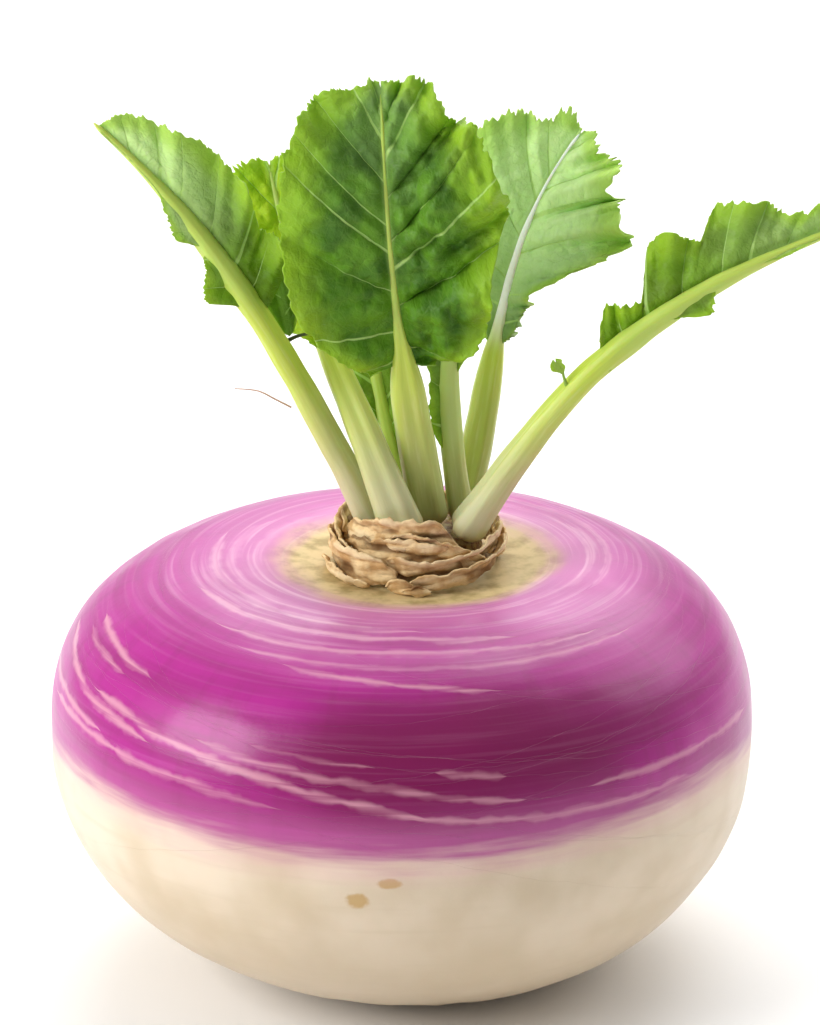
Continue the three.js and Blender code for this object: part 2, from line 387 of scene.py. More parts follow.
# Pale cracks in the purple skin: from and to, in degrees round the root with 0 at the front and
# plus to the right, then the skin distance from the crown at both ends, how far the middle bows
# down, and the width, all in mm, and how strong it is.
paleCracks = [
    (-64, 6, 53.2, 62.0, -1.0, 1.0, 0.9),
    (-90, -44, 51.0, 56.4, 0.6, 1.0, 0.9),
    (-80, -18, 59.0, 61.3, -0.8, 0.9, 0.8),
    (-37, 6, 54.0, 58.4, 0.0, 0.9, 0.7),
    (-26, -4, 53.0, 54.8, 0.2, 0.5, 0.6),
    (5, 17, 55.5, 56.6, 0.0, 0.7, 0.6),
    (-2, 20, 57.6, 60.0, 0.2, 0.7, 0.7),
    (0, 56, 61.4, 63.4, 0.6, 0.9, 0.7),
    (30, 76, 60.0, 60.6, -0.3, 0.9, 0.7),
    (-80, -50, 46.0, 48.7, 0.0, 0.8, 0.9),
    (-80, -57, 48.5, 49.9, 0.0, 0.7, 0.8),
    (-92, -56, 57.0, 58.2, -0.4, 0.8, 0.8),
    (-26, 20, 40.8, 45.0, -0.2, 0.7, 0.8),
    (-112, 8, 30.6, 32.9, -1.2, 1.1, 0.7),
    (-70, 30, 34.0, 35.6, -1.2, 1.0, 0.8),
    (-50, 50, 37.0, 38.6, -0.6, 0.8, 0.7),
    (-130, -10, 27.2, 29.0, 0.4, 1.2, 0.5),
    (-150, 40, 24.4, 25.4, 0.6, 1.2, 0.5),
    (-40, 60, 39.2, 40.4, 0.4, 0.7, 0.5),
    (20, 120, 26.6, 28.4, 0.4, 1.1, 0.5),
    (60, 160, 31.0, 30.0, 0.0, 1.0, 0.6),
    (100, 150, 58.0, 60.5, 0.5, 0.9, 0.7),
    (118, 176, 53.0, 55.5, -0.6, 0.8, 0.7),
    (-176, -120, 57.0, 61.0, 0.5, 0.9, 0.8),
    (-165, -105, 48.0, 51.0, 0.4, 0.8, 0.6),
]

# Small rust spots in the cream skin: degrees round the root and skin distance from the crown, then
# half the width in degrees and half the height in mm.
rustSpots = [(-2.0, 70.6, 2.0, 0.8), (-7.0, 73.3, 1.9, 1.3)]


def rootFinish():
    c = rootColours
    f = Finish("rootSkin", IOR=1.45, Specular_IOR_Level=0.42)
    spot = f.place()
    split = f.node("ShaderNodeSeparateXYZ", {0: spot})
    x, y = split.outputs[0], split.outputs[1]
    fromCrown = f.attribute("fromCrown")
    forward = f.times(y, -1.0)
    degrees = f.times(f.math("ARCTAN2", f.math("ADD", x, 2.0), forward), 57.2958)

    # noise stretched round the root, so that it makes rings
    def ringNoise(around, across, detail, seed):
        alongSkin = f.math("ADD", f.math("DIVIDE", fromCrown, across), seed)
        where = f.vector(f.math("DIVIDE", x, around), f.math("DIVIDE", y, around), alongSkin)
        return f.noise(where, 1.0, detail)

    # squared distance from a place on the skin, as a share of an oval's half width and height
    def ovalDistance(atDegrees, atDistance, halfWidth, halfHeight):
        across = f.math("DIVIDE", f.math("SUBTRACT", degrees, atDegrees), halfWidth)
        down = f.math("DIVIDE", f.math("SUBTRACT", fromCrown, atDistance), halfHeight)
        return f.math("ADD", f.times(across, across), f.times(down, down))

    broad = f.noise(spot, 0.05, 2.0)
    fine = f.noise(spot, 0.9, 4.0, 0.6)
    wideRings = ringNoise(45, 3.2, 3.0, 7.0)
    thinRings = ringNoise(26, 0.8, 3.0, 31.0)
    towardsCrown = f.rest(f.band(fromCrown, 20, 47))

    # a painted shade lies low on the front, a little to the right: the purple is darkened there
    paintedFrontShade = f.math("ADD", ovalDistance(14.0, 54.0, 42.0, 11.0), broad)
    brushed = f.noise(f.vector(f.math("DIVIDE", degrees, 3.0), f.math("DIVIDE", fromCrown, 14.0)), 1.0, 2.0)
    purple = f.painted(
        c["purple"],
        (f.band(wideRings, 0.6, 0.36), 0.35, c["deepPurple"]),
        (f.rest(f.band(paintedFrontShade, 0.5, 1.9)), 0.95, c["deepPurple"]),
        (f.band(brushed, 0.5, 0.72), 0.16, c["deepPurple"]),
        (f.band(fromCrown, 60, 65.5), 0.6, c["mauve"]),
        # paler lilac towards the crown: partly the skin's own colour, partly a painted sheen
        (towardsCrown, 0.7, c["lilacAndSheen"]),
        # pale thin rings near the crown: partly real pale lines, partly a painted highlight
        (f.band(thinRings, 0.47, 0.76), f.scaled(towardsCrown, 0.55, 0.05), c["paleLineAndSheen"]))

    # each crack is a thin band round its own line, thinner at its ends and broken by noise
    waver = f.scaled(f.noise(spot, 0.16, 2.0), 1.2, -0.6)
    broken = f.scaled(f.noise(spot, 0.35, 2.0), 1.8, -0.1)
    cracks = None
    for start, end, first, last, bow, width, strength in paleCracks:
        share = f.math("DIVIDE", f.math("SUBTRACT", degrees, float(start)), float(end - start))
        line = f.scaled(share, last - first, first)
        arch = f.times(f.times(share, f.rest(share)), 4.0)
        line = f.math("ADD", f.scaled(arch, bow, line), waver)
        off = f.math("ABSOLUTE", f.math("SUBTRACT", fromCrown, line))
        reach = f.math("MAXIMUM", f.times(f.times(f.band(arch, 0.0, 0.5), broken), width), 0.01)
        crack = f.times(f.rest(f.band(f.math("DIVIDE", off, reach), 0.0, 1.2)), strength)
        cracks = crack if cracks is None else f.math("MAXIMUM", cracks, crack)
    # near the crown the cracks take the colour of the pale lines, which is partly a painted highlight
    crackColour = f.mix(towardsCrown, c["crack"], c["paleLineAndSheen"])
    uneven = f.scaled(f.band(thinRings, 0.36, 0.56), 0.45, 0.3)
    purple = f.painted(purple, (cracks, uneven, crackColour))

    cream = f.mix(f.band(f.noise(spot, 0.06, 3.0), 0.35, 0.7), c["cream"], c["creamShade"])
    cream = f.painted(
        cream,
        # darker low on the root, towards the foot: painted shade
        (f.band(fromCrown, 72, 88), 0.5, c["creamShade"]),
        (f.band(ringNoise(30, 2.0, 3.0, 51.0), 0.5, 0.75), 0.35, c["creamShade"]))
    for place in rustSpots:
        away = f.scaled(fine, 1.4, f.math("SUBTRACT", ovalDistance(*place), 0.7))
        cream = f.painted(cream, (f.rest(f.band(away, 0.3, 1.3)), 0.75, c["ochre"]))

    # the boundary sinks a little at the front and the back and its purple fades in ragged rings
    side = f.math("ABSOLUTE", f.math("DIVIDE", degrees, 90.0))
    sink = f.times(f.band(side, 0.6, 1.1), 3.0)
    sink = f.scaled(f.rest(f.band(side, 0.1, 0.75)), 1.9, sink)
    ragged = f.scaled(ringNoise(16, 1.4, 4.0, 3.0), 5.0, -2.5)
    edge = f.math("ADD", f.math("SUBTRACT", fromCrown, sink), ragged)
    creamShare = f.band(edge, c["boundary"] - 2.4, c["boundary"] + 2.0)
    cream = f.painted(cream, (f.rest(f.band(edge, c["boundary"], c["boundary"] + 5)), 0.35, c["crack"]))
    skin = f.mix(creamShare, purple, cream)

    tan = f.mix(f.band(f.noise(spot, 0.22, 4.0, 0.6), 0.4, 0.68), c["crownTan"], c["crownOlive"])
    tan = f.painted(
        tan,
        (f.rest(f.band(fromCrown, 11, 17)), 0.6, c["crownOlive"]),
        # darker and greener towards the right: partly a greener tint, partly painted shade
        (f.band(x, 4, 24), 0.35, c["crownOlive"]))
    discEdge = f.scaled(ringNoise(12, 3.0, 3.0, 13.0), 5.0, f.math("SUBTRACT", fromCrown, 2.5))
    discShare = f.rest(f.band(discEdge, c["disc"] - 3.2, c["disc"] + 3.0))
    skin = f.mix(discShare, skin, tan)
    skin = f.mix(f.attribute("neck"), skin, f.mix(f.band(fine, 0.4, 0.6), c["neck"], c["crownOlive"]))
    skin = f.painted(skin, (f.attribute("scar"), f.band(fine, 0.2, 0.7), c["scar"]))

    dull = f.math("MAXIMUM", discShare, f.times(creamShare, 0.35))
    roughness = f.scaled(dull, 0.3, f.scaled(wideRings, 0.18, 0.24))
    pores = f.bump(fine, 0.06, 0.5)
    lines = f.bump(thinRings, 0.05, 0.5, pores)
    furrows = f.bump(cracks, -0.06, 0.8, lines)
    return f.finish(Base_Color=skin, Roughness=roughness, Normal=furrows, Coat_Weight=0.15,
                    Coat_Roughness=0.2, Subsurface_Weight=0.06, Subsurface_Scale=0.003)


print("root")
makePiece("turnipRoot", rootSurface(), rootFinish(), "root_skin", "root")


# Every husk is a few torn strips of dry skin wound round the neck. A strip turns from one angle to
# the other, in degrees with -90 at the front. "low" and "high" are its edges' heights and "radius"
# its distance from the crown's middle, each at even steps along it, in mm. "lip" is how far its
# upper edge rolls outwards.
husks = {
    "front_husk": [
        {"turn": (-174, -58), "lip": 0.5, "low": (61.8, 62.4, 63.0, 63.0, 62.2, 61.4),
         "high": (65.4, 66.8, 67.8, 68.4, 68.2, 64.0), "radius": (9.7, 9.8, 10.0, 10.2, 10.6, 11.2)},
        {"turn": (-164, -50), "lip": 0.4, "low": (60.8, 61.2, 61.6, 61.4, 60.6),
         "high": (63.8, 64.8, 65.6, 65.6, 62.6), "radius": (10.5, 10.6, 10.8, 11.3, 11.8)},
        {"turn": (-116, -44), "lip": 0.5, "low": (63.8, 64.0, 62.6, 61.2),
         "high": (65.8, 66.6, 65.2, 62.6), "radius": (10.6, 11.1, 11.6, 11.7)},
    ],
    "left_husk": [
        {"turn": (-200, -106), "lip": 0.2, "low": (59.6, 59.5, 59.2, 59.1, 59.2),
         "high": (63.0, 64.0, 64.2, 63.8, 62.6), "radius": (12.4, 12.8, 13.0, 13.0, 12.6)},
        {"turn": (-204, -140), "lip": 0.7, "low": (62.4, 62.2, 61.6),
         "high": (65.0, 65.0, 63.8), "radius": (11.4, 11.6, 11.8)},
        {"turn": (-176, -122), "lip": 0.6, "low": (58.9, 58.8, 58.8),
         "high": (60.4, 60.8, 60.2), "radius": (13.4, 13.8, 13.6)},
    ],
    "right_front_husk": [
        {"turn": (-114, -8), "lip": 0.4, "low": (61.0, 60.9, 60.8, 61.4, 62.6, 63.4),
         "high": (63.8, 63.6, 63.4, 64.2, 65.4, 66.2), "radius": (11.6, 12.2, 12.4, 12.1, 11.4, 10.6)},
        {"turn": (-97, -12), "lip": 0.5, "low": (59.2, 59.4, 59.7, 60.6, 61.8),
         "high": (61.2, 61.7, 62.2, 63.4, 64.6), "radius": (12.8, 13.2, 13.1, 12.4, 11.5)},
        {"turn": (-110, -93), "lip": 0.5, "low": (58.9, 58.8, 58.8),
         "high": (60.4, 61.1, 60.2), "radius": (13.8, 14.1, 13.7)},
        {"turn": (-101, -85), "lip": 0.4, "low": (58.8, 58.8, 58.9),
         "high": (59.9, 60.4, 59.8), "radius": (14.3, 14.6, 14.1)},
    ],
    "right_husk": [
        {"turn": (-24, 56), "lip": 0.4, "low": (60.8, 60.2, 59.8, 59.8),
         "high": (64.8, 64.8, 64.6, 64.4), "radius": (10.2, 10.6, 11.0, 11.2)},
        {"turn": (-14, 48), "lip": 0.4, "low": (59.6, 59.4, 59.4),
         "high": (62.4, 62.8, 62.2), "radius": (11.3, 11.7, 11.9)},
    ],
    "back_husk": [
        {"turn": (48, 128), "lip": 0.8, "low": (60.0, 59.8, 59.8, 60.0),
         "high": (64.6, 65.2, 65.4, 65.0), "radius": (11.4, 11.3, 11.2, 11.3)},
        {"turn": (58, 124), "lip": 0.7, "low": (59.4, 59.2, 59.4),
         "high": (62.4, 63.2, 62.6), "radius": (12.3, 12.6, 12.2)},
    ],
    "back_left_husk": [
        {"turn": (120, 188), "lip": 0.6, "low": (60.0, 59.8, 59.8, 60.2),
         "high": (64.8, 65.4, 66.0, 65.6), "radius": (11.3, 11.2, 10.8, 10.4)},
        {"turn": (126, 180), "lip": 0.6, "low": (59.4, 59.2, 59.4),
         "high": (62.4, 63.2, 62.6), "radius": (12.3, 12.4, 12.0)},
    ],
}

huskLook = {
    "thickness": 0.4,
    "paper": tint(240, 212, 160),
    "darkPaper": tint(206, 166, 110),
    "fibre": tint(142, 100, 54),
    # painted shade for the hollows of the folds
    "hollow": tint(104, 66, 28),
    # painted highlight for the crests of the folds
    "ridge": tint(250, 230, 188),
}


# A strip: the point at a share of the turn and a share of the height stands on a ring whose radius
# follows the strip's own list, plus a lip that grows with the cube of the height and crumples of
# noise that is long round the neck and short up it. Its edges are torn by noise and its ends taper.
def huskStrip(strip, seed):
    rows, columns = 150, 22
    along = np.linspace(0, 1, rows)[:, None]
    up = np.linspace(0, 1, columns)[None, :]
    first, last = np.radians(strip["turn"])
    angle = first + (last - first) * along
    taper = np.minimum(1, np.minimum(along, 1 - along) * 9 + 0.12) ** 0.6
    low = smoothList(strip["low"], along)
    high = smoothList(strip["high"], along)
    middle = (low + high) / 2
    length = angle * 12
    line = spots(length / 1.6, 0)
    half = (high - low) / 2 * taper
    top = middle + half + 0.35 * roughNoise(line, seed) * taper
    bottom = middle - half + 0.25 * roughNoise(line, seed + 5) * taper
    height = bottom + (top - bottom) * up
    fold = roughNoise(spots(length / 6, height / 1.3 - length / 14), seed + 9, 2)
    crumple = roughNoise(spots(length / 2.1, height / 1.1), seed + 13, 2)
    radius = smoothList(strip["radius"], along) + strip["lip"] * up**3 - 0.4 * (1 - up) ** 2
    radius = radius + 0.62 * fold * np.sin(math.pi * np.clip(up * 0.9 + 0.08, 0, 1)) ** 0.5
    radius = radius + 0.26 * crumple
    grid = spots(root["crownX"] + radius * np.cos(angle), radius * np.sin(angle), height)
    thick = huskLook["thickness"] * (0.7 + 0.5 * np.sin(math.pi * up)) + 0 * along
    grain = spots(length / 9, up * 3, seed)
    # the fold is kept to paint shade in its hollows and a highlight on its crests
    return sheetShell(grid, thick, {"hollow": fold, "grain": grain})


def huskFinish():
    c = huskLook
    f = Finish("dryHusk", Roughness=0.85, IOR=1.4)
    fold = f.attribute("hollow")
    spot = f.place()
    fibres = f.noise(f.attribute("grain", "Vector"), 7.0, 4.0, 0.7)
    paper = f.mix(f.band(f.noise(spot, 0.45, 3.0), 0.35, 0.65), c["paper"], c["darkPaper"])
    paper = f.painted(
        paper,
        (f.band(fibres, 0.5, 0.75), 0.45, c["fibre"]),
        # darker in the hollows of the folds: painted shade
        (f.rest(f.band(fold, -0.8, -0.2)), 0.75, c["hollow"]),
        # paler on the crests of the folds: painted highlight
        (f.band(fold, 0.15, 0.8), 0.5, c["ridge"]))
    ribs = f.bump(fibres, 0.25, 0.6)
    crinkle = f.bump(f.noise(spot, 2.2, 3.0), 0.15, 0.6, ribs)
    return f.finish(Base_Color=paper, Normal=crinkle)


print("husks")
huskMaterial = huskFinish()
for order, (nodeName, strips) in enumerate(husks.items()):
    shells = [huskStrip(strip, 100 * order + 7 * i) for i, strip in enumerate(strips)]
    makePiece(nodeName.replace("_husk", "Husk"), joinShells(shells), huskMaterial, "dry_husk", nodeName)


# A leaf's stalk runs to the tip along a cubic Bezier, "route", in mm. "thick" is the stalk's half
# breadth at even steps along it and "face" the way that the upper side looks. The blade covers
# "span" of the stalk. "left" and "right" are its outline, the half widths at even steps from its
# base to its tip; left and right are as seen with the upper side to the viewer. "veins" is the
# angle at which side veins leave the rib at even steps, in degrees. "cup" folds each half up, in
# degrees, and "roll" bends it further for every mm. "quilt" is how far each half bulges between
# side veins and "ruffle" the depth of the waves in its margin, in mm, with "waves" of them, and
# "teeth" is the size of its teeth. "light" is how pale it is at even steps from base to tip,
# partly a waxy bloom and partly a painted sheen, "yellow" how yellow it is, partly young leaf and
# partly painted light shining through it, and "paleRib" and "paleFoot" how white its rib and its
# stalk's foot are, all from 0 to 1.
leaves = {
    "left": {
        "route": [(-5.5, -1, 64), (-18.5, -3.5, 91.5), (-26.5, -7, 108.5), (-43.5, -4, 123)],
        "thick": (2.45, 2.1, 1.95, 1.85, 1.75, 1.3, 0.7, 0.3),
        "face": (0.62, -0.55, 0.9), "span": (0.5, 0.98),
        "left": (0.8, 1.4, 5.2, 4.2, 1.0, 2.8, 2.6, 1.0, 0.7, 0.5, 0.5, 0.5),
        "right": (0.8, 5.8, 8.2, 6.4, 7.2, 8.8, 8.6, 7.8, 7.4, 6.2, 4.2, 2),
        "veins": (30, 35, 42, 50, 70), "teeth": 0.7,
        "cup": (-35, 52), "roll": (-1.0, 0.6),
        "quilt": (0.4, 0.4), "ruffle": (0.8, 1.2), "waves": (4, 3.5),
        "light": (0.0, 0.05, 0.5, 0.95, 1.0), "yellow": 0.15, "paleRib": 0.0, "paleFoot": 0.9,
        "seed": 1,
    },
    "back_left": {
        "route": [(-1.5, -6, 64), (-11, -4, 90.5), (-17.5, 8, 97), (-20.5, 9, 114)],
        "thick": (3.1, 2.6, 2.2, 1.7, 1.0, 0.6, 0.3),
        "face": (-0.2, -1, 0.5), "span": (0.5, 0.99),
        "left": (0.8, 3, 5, 7.5, 9.5, 10.5, 9.5, 8, 5),
        "right": (0.8, 6, 9, 9.5, 9.5, 9, 8.5, 7.5, 5),
        "veins": (10, 30, 42, 55, 75), "teeth": 1.1,
        "cup": (8, 12), "roll": (0.6, 0.6),
        "quilt": (0.8, 0.8), "ruffle": (1.8, 1.4), "waves": (3.5, 3),
        "light": (0.1, 0.3), "yellow": 1.0, "paleRib": 0.1, "paleFoot": 0.75,
        "seed": 2,
    },
    "back": {
        "route": [(-2.5, 5, 64), (-5, 8, 82.5), (-9, 16.5, 91), (-8, 19, 111)],
        "thick": (2.2, 1.5, 1.0, 0.8, 0.6, 0.4, 0.3),
        "face": (0, -1, 0.3), "span": (0.06, 0.99),
        "left": (0.8, 3.8, 4.2, 4.4, 4.6, 7, 9, 9.5, 8, 5.5, 3),
        "right": (0.8, 3.8, 4.2, 4.4, 4.6, 7, 9, 9.5, 8, 5.5, 3),
        "veins": (45, 40, 38, 50, 75), "teeth": 0.5,
        "cup": (12, 12), "roll": (0.6, 0.6),
        "quilt": (0.5, 0.5), "ruffle": (0.8, 0.8), "waves": (3, 3.5),
        "light": (0.0, 0.2), "yellow": 0.25, "paleRib": 0.0, "paleFoot": 0.0,
        "seed": 3,
    },
    "centre": {
        "route": [(2, 0, 64), (-3.5, -2.5, 95.5), (-4, -12.5, 108.5), (-5, -3, 128)],
        "thick": (2.6, 2.6, 2.55, 2.3, 1.05, 0.45, 0.33, 0.27, 0.22, 0.16),
        "face": (0, -1, 0.2), "span": (0.4, 0.995),
        "left": (6.0, 10.5, 13.4, 14.4, 15.0, 15.2, 15.2, 14.2, 12.8, 10.8, 7.5),
        "right": (7.0, 11.5, 13.8, 14.6, 15.2, 15.6, 15.6, 14.6, 12.4, 9.0, 5),
        "veins": (-28, 15, 38, 46, 58, 82), "teeth": 0.85,
        "cup": (12, 4), "roll": (-1.0, 0.2),
        "quilt": (0.8, 1.9), "ruffle": (1.3, 3.2), "waves": (3.4, 3.6),
        "light": (0.0, 0.02, 0.08, 0.3), "yellow": 0.0, "paleRib": 0.0, "paleFoot": 0.3,
        "seed": 4,
    },
    "inner": {
        "route": [(6.5, 1, 64), (2.5, 2.5, 87.5), (5.5, 4, 91.5), (5, 2, 108.5)],
        "thick": (1.75, 1.65, 1.6, 1.4, 0.9, 0.5, 0.3),
        "face": (0, -1, 0.3), "span": (0.2, 0.99),
        "left": (0.4, 2.7, 3.1, 3.2, 4.6, 5.2, 4.8, 3.8, 2),
        "right": (0.3, 0.3, 0.4, 1.6, 4.4, 5.2, 4.8, 3.8, 2),
        "veins": (15, 35, 50, 75), "teeth": 0.5,
        "cup": (16, 16), "roll": (0.8, 0.8),
        "quilt": (0.5, 0.5), "ruffle": (0.5, 0.5), "waves": (2.5, 3),
        "light": (0.0, 0.3), "yellow": 0.15, "paleRib": 0.1, "paleFoot": 0.35,
        "seed": 5,
    },
    "back_right": {
        "route": [(6, 6, 64), (11.5, 8.5, 80), (9.5, 13.5, 99.5), (22.5, 13, 117)],
        "thick": (2.3, 2.2, 2.1, 1.7, 0.75, 0.62, 0.4, 0.26, 0.16),
        "face": (-0.15, -0.9, 0.5), "span": (0.42, 1.0),
        "left": (0.6, 4, 7, 9, 11, 12.5, 13.5, 14, 13.5, 11, 7),
        "right": (0.6, 4.0, 4.6, 5.0, 8.6, 12.6, 14.6, 15, 13.4, 10, 6),
        "veins": (5, 20, 35, 45, 55, 78), "teeth": 1.5,
        "cup": (14, 18), "roll": (0.4, -0.7),
        "quilt": (0.5, 0.7), "ruffle": (1.0, 2.2), "waves": (4, 5),
        "light": (0.1, 0.7, 1.0, 1.0), "yellow": 0.0, "paleRib": 1.0, "paleFoot": 0.1,
        "seed": 6,
    },
    "right": {
        "route": [(6, -4, 64), (19, -8, 85.5), (27, -8, 98.5), (59.5, -5, 109.5)],
        "thick": (3.0, 2.5, 2.15, 1.9, 1.5, 1.1, 0.7, 0.3),
        "face": (-0.5, -0.2, 0.85), "span": (0.43, 0.98),
        "left": (0.5, 0.9, 2.4, 4.8, 4.8, 3.2, 3.0, 6.8, 8.4, 9.2, 9.2, 7.0, 6.6,
                 9.4, 9.6, 8.8, 7.8, 7.6, 5.2, 2.8, 4.2, 3.8, 1.5),
        "right": (0.5, 2.0, 0.6, 0.5, 0.5, 0.5, 0.7, 1.6, 2.4, 3.2, 3.6, 0.8, 0.5,
                  0.5, 0.6, 0.8, 1, 1, 0.8, 0.6, 0.6, 0.5, 0.4),
        "veins": (25, 28, 30, 35, 45, 65), "teeth": 0.8,
        "cup": (58, -48), "roll": (0.8, -1.0),
        "quilt": (0.5, 0.4), "ruffle": (1.1, 0.6), "waves": (5, 4.5),
        "light": (0.0, 0.0, 0.1, 0.35, 0.6), "yellow": 0.2, "paleRib": 0.0, "paleFoot": 0.75,
        "seed": 7,
    },
}

leafShape = {
    "thickness": 0.4,
    "rows": 230,
    "halfColumns": 56,
    "veinBend": 0.006,  # side veins curve towards the tip, in mm per square mm
    "pucker": 0.5,  # how much a leaf bulges between small veins, as a share of its quilt
    "flare": 0.1,  # the stalk's foot is wider by this share
    "veinSpacing": 5.2,  # along the rib, in mm
}


# A point at a share of the route, by the cubic Bezier's own formula.
def bezierPoints(route, share):
    a, b, c, d = (np.array(p, dtype=float) for p in route)
    s = share[..., None]
    return a * (1 - s) ** 3 + 3 * b * s * (1 - s) ** 2 + 3 * c * s**2 * (1 - s) + d * s**3


def ribLine(leaf):  # places along the rib and how far along it each one is
    line = bezierPoints(leaf["route"], np.linspace(0, 1, 400))
    steps = np.linalg.norm(np.diff(line, axis=0), axis=1)
    return line, np.concatenate([[0], np.cumsum(steps)])


# Where a distance along the rib lies, with the directions along it, to the right of it and out of
# the leaf's upper side. Past the tip the rib goes on straight.
def ribFrames(leaf, distance):
    line, length = ribLine(leaf)
    slope = unit(np.gradient(line, axis=0))
    within = np.clip(distance, 0, length[-1])
    point = np.stack([np.interp(within, length, line[:, i]) for i in range(3)], axis=-1)
    along = unit(np.stack([np.interp(within, length, slope[:, i]) for i in range(3)], axis=-1))
    point = point + along * (distance - within)[..., None]
    out = np.array(leaf["face"], dtype=float)
    out = unit(out - along * (along @ out)[..., None])
    return point, along, np.cross(along, out), out


# The stalk: an oval carried along the rib. Its half breadth follows "thick"; its upper side is
# flatter than its back, more so where it is the rib of the blade, and low ridges run along it.
def stalkSurface(leaf):
    rings, columns = 150, 36
    length = ribLine(leaf)[1][-1]
    share = np.linspace(0, 1, rings)
    breadth = smoothList(leaf["thick"], share) * (1 + leafShape["flare"] * np.exp(-share * 16))
    foot = np.sqrt(np.clip(1 - (1 - np.clip(share * length / 2.2, 0, 1)) ** 2, 0.02, 1))
    tip = np.sqrt(np.clip((1 - share) * length / 1.5, 0.02, 1))
    breadth = breadth * foot * tip
    inBlade = eased(share, leaf["span"][0] - 0.02, leaf["span"][0] + 0.12)
    turn = np.linspace(0, 2 * math.pi, columns, endpoint=False)
    across, out = -np.cos(turn)[None, :], np.sin(turn)[None, :]
    front = (0.86 - 0.1 * inBlade)[:, None]
    back = (0.95 + 0.45 * inBlade)[:, None]
    depth = np.where(out > 0, out * front, out * back)
    groove = 0.22 * (1 - inBlade)[:, None] * np.exp(-((turn[None, :] - math.pi / 2) / 0.42) ** 2)
    ridge = 1 + 0.022 * np.cos(9 * turn)[None, :] + 0.012 * np.cos(17 * turn + 1)[None, :]
    point, along, side, face = ribFrames(leaf, share * length)
    x = breadth[:, None] * across * ridge
    y = breadth[:, None] * (depth * ridge - groove)
    grid = point[:, None] + side[:, None] * x[..., None] + face[:, None] * y[..., None]
    grid = grid + 0.12 * softNoise(grid / 4.5, leaf["seed"])[..., None] * unit(grid - point[:, None])
    points = np.concatenate([grid.reshape(-1, 3), [point[0], point[-1] + along[-1] * 0.2]])
    distance = np.repeat(share * length, columns)
    grain = spots(np.tile(np.cos(turn), rings), np.tile(np.sin(turn), rings), distance / 30)
    ends = [[0, 0, 0], [0, 0, length / 30]]
    values = {
        "grain": np.concatenate([grain, ends]),
        "fromFoot": np.concatenate([distance, [0, length]]),
        "rib": np.concatenate([np.repeat(inBlade, columns), [0, 1]]),
        "pale": np.full(rings * columns + 2, leaf["paleRib"]),
        "white": np.full(rings * columns + 2, leaf["paleFoot"]),
    }
    return points, tubeFaces(rings, columns), values


# How far a side vein runs before it meets the outline: it leaves the rib at its own angle and
# bends towards the tip, and the first place where it is wider than the outline is its end.
def veinReach(start, angle, outline, bladeLength):
    run = np.linspace(0, 24, 481)[None, :]
    along = start[:, None] + run * np.sin(angle)[:, None] + leafShape["veinBend"] * run**2
    wide = run * np.cos(angle)[:, None]
    share = along / bladeLength
    limit = smoothList(outline, share) * np.sqrt(np.clip((1 - share) / 0.04, 0, 1))
    limit = limit * np.sqrt(np.clip(1 + share / 0.12, 0, 1))
    past = (wide > limit) | (share > 1)
    past[:, 0] = False
    past[:, -1] = True
    return run[0, past.argmax(axis=1)]


